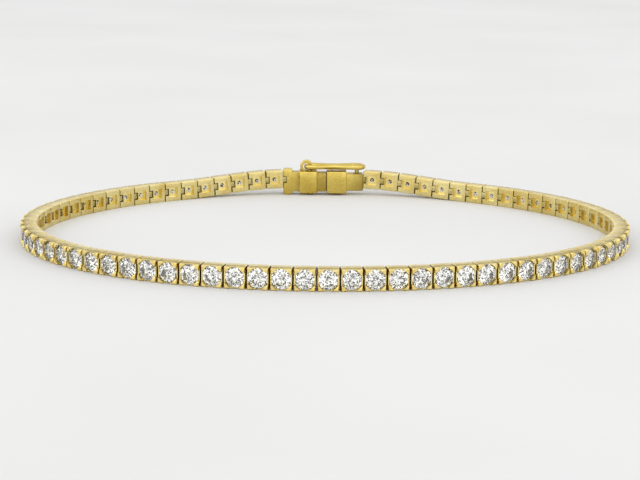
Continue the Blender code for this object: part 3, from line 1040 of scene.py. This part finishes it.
def catchOutline(length):
    wire = catchShape["wire"] / 2
    stirrup = tongueShape["lugWidth"] / 2 + catchShape["sideGap"] + wire
    eye = boxShape["ball"] + catchShape["sideGap"] + wire
    waist = catchShape["waistGap"] / 2 + wire
    corner = stirrup - tongueShape["lugWidth"] / 2
    points = []
    for step in range(catchShape["cornerSteps"] + 1):
        angle = math.pi / 2 * step / catchShape["cornerSteps"]
        side = stirrup - corner + corner * math.sin(angle)
        points.append((corner - corner * math.cos(angle), side))
    for step in range(1, catchShape["waistSteps"]):
        share = step / catchShape["waistSteps"]
        swell = 0.5 + 0.5 * math.cos(2.0 * math.pi * share)
        wide = stirrup + (eye - stirrup) * share
        points.append((corner + (length - corner) * share, waist + (wide - waist) * swell))
    for step in range(catchShape["eyeSteps"] + 1):
        angle = math.pi / 2 * (1 - step / catchShape["eyeSteps"])
        points.append((length + eye * math.cos(angle), eye * math.sin(angle)))
    return points


def makeSafetyCatch():
    boxLow = nodeLow("clasp_box")
    blockEnd = boxLow.x + boxShape["length"] + boxShape["endLength"]
    pivotX = boxLow.x - claspShape["seam"] - tongueShape["lugFromSeam"]
    half = catchOutline(blockEnd - boxShape["pegFromEnd"] - pivotX)
    outline = half + [(x, -y) for x, y in reversed(half[:-1])]
    bpy.ops.object.select_all(action="DESELECT")
    bpy.ops.mesh.primitive_circle_add(vertices=len(outline), radius=1.0)
    wire = added("safetyCatch")
    for point, (x, y) in zip(wire.data.vertices, outline):
        point.co = (pivotX + x, claspShape["out"] + y, wireHeight())
    only(wire)
    bpy.ops.object.convert(target="CURVE")
    wire = bpy.context.object
    wire.data.bevel_depth = catchShape["wire"] / 2
    wire.data.bevel_resolution = 4
    bpy.ops.object.convert(target="MESH")
    wire = bpy.context.object
    cleaned(wire)
    smoothByAngle(wire, 60)
    markPoints(wire, "paintedShade", lambda point: 0.0)
    finishedClasp(wire, "safetyCatch", catchShadedGoldLook, "catch", "safety_catch")


makeClaspTongue()
makeClaspBox()
makeSafetyCatch()

# camera, as far and as high as the photograph's
view = {
    "place": (-4.274, -189.466, 39.17),
    "direction": (0.01902, 0.97861, -0.20484),
    "roll": 0.0109,
    "focalPixels": 1778.3,
    "imageWidth": 640,
}


def makeCamera():
    lens = bpy.data.cameras.new("camera")
    lens.sensor_width = 36.0
    lens.lens = view["focalPixels"] * lens.sensor_width / view["imageWidth"]
    lens.clip_start = 0.01
    lens.clip_end = 10.0
    camera = bpy.data.objects.new("camera", lens)
    camera.location = Vector(view["place"]) * mm
    aim = Vector(view["direction"]).to_track_quat("-Z", "Y")
    roll = Quaternion((0, 0, 1), view["roll"])
    camera.rotation_euler = (aim @ roll).to_euler()
    bpy.context.scene.collection.objects.link(camera)
    bpy.context.scene.camera = camera


studio = {
    "floor": 3.0,
    "floorDeep": (0.715, 0.715, 0.711),
    "floorPale": (0.755, 0.755, 0.753),
    "floorRough": 0.75,
    "cloudScale": 18.0,
    "backdrop": (0.80, 0.81, 0.81),
    "low": (1.10, 1.10, 1.10),
    "high": (0.75, 0.75, 0.75),
    "highFrom": 0.9,
    "frontWay": (0.0, -1.0, 0.0),
    "front": (1.70, 1.70, 1.70),
    "frontInner": 25.0,
    "frontOuter": 65.0,
    "dark": (0.55, 0.55, 0.55),
    "darkWay": (0.0, -0.93, 0.36),
    "darkInner": 6.0,
    "darkOuter": 20.0,
}
softboxes = (
    # name, place, size, power, colour
    ("overheadSoftbox", (0.0, 0.1, 0.9), 1.0, 1.2, (1.0, 0.99, 0.97)),
    ("frontSoftbox", (0.0, -0.7, 0.55), 0.45, 0.8, (1.0, 1.0, 1.0)),
    ("leftSoftbox", (-0.8, -0.5, 0.5), 0.5, 1.2, (1.0, 1.0, 1.0)),
    ("rightSoftbox", (0.8, -0.4, 0.6), 0.5, 1.0, (1.0, 1.0, 1.0)),
)


def makeFloor():
    bpy.ops.object.select_all(action="DESELECT")
    bpy.ops.mesh.primitive_circle_add(vertices=64, radius=studio["floor"], fill_type="NGON")
    floor = bpy.context.object
    floor.name = "floor"
    material, tree, shader, place = newMaterial("paleFloor")
    cloudy = noiseNode(tree, place, studio["cloudScale"], 2.0)
    stops = ((0.3, studio["floorDeep"]), (0.7, studio["floorPale"]))
    ramp = rampNode(tree, stops, cloudy.outputs["Fac"])
    tree.links.new(ramp.outputs["Color"], shader.inputs["Base Color"])
    shader.inputs["Roughness"].default_value = studio["floorRough"]
    floor.data.materials.append(material)


def makeLights():
    for name, place, size, power, colour in softboxes:
        bpy.ops.object.light_add(type="AREA", location=place)
        lamp = bpy.context.object
        lamp.name = name
        lamp.rotation_euler = (-Vector(place)).to_track_quat("-Z", "Y").to_euler()
        lamp.data.shape = "SQUARE"
        lamp.data.size = size
        lamp.data.energy = power
        lamp.data.color = colour


def facing(tree, way, line):
    dot = tree.nodes.new("ShaderNodeVectorMath")
    dot.operation = "DOT_PRODUCT"
    dot.inputs[1].default_value = Vector(line).normalized()
    tree.links.new(way, dot.inputs[0])
    return dot.outputs["Value"]


# a sky that dims upwards, brighter in front, with a dim patch behind the camera
def makeSky():
    world = bpy.data.worlds.new("studio")
    bpy.context.scene.world = world
    world.use_nodes = True
    tree = world.node_tree
    way = tree.nodes.new("ShaderNodeTexCoord").outputs["Generated"]
    up = facing(tree, way, (0.0, 0.0, 1.0))
    rise = rangeNode(tree, up, 0.0, 1.0, 0.0, studio["highFrom"])
    sky = mixNode(tree, rise.outputs["Result"], studio["low"], studio["high"])
    for name in ("front", "dark"):
        toPatch = facing(tree, way, studio[f"{name}Way"])
        outer = math.cos(math.radians(studio[f"{name}Outer"]))
        inner = math.cos(math.radians(studio[f"{name}Inner"]))
        patch = rangeNode(tree, toPatch, 0.0, 1.0, outer, inner)
        sky = mixNode(tree, patch.outputs["Result"], sky.outputs["Result"], studio[name])
    seen = tree.nodes.new("ShaderNodeLightPath").outputs["Is Camera Ray"]
    shown = mixNode(tree, seen, sky.outputs["Result"], studio["backdrop"])
    tree.links.new(shown.outputs["Result"], tree.nodes["Background"].inputs["Color"])


makeCamera()
makeFloor()
makeLights()
makeSky()
print("camera, floor and lights set")
bpy.context.scene.view_settings.view_transform = "Standard"
bpy.context.view_layer.update()
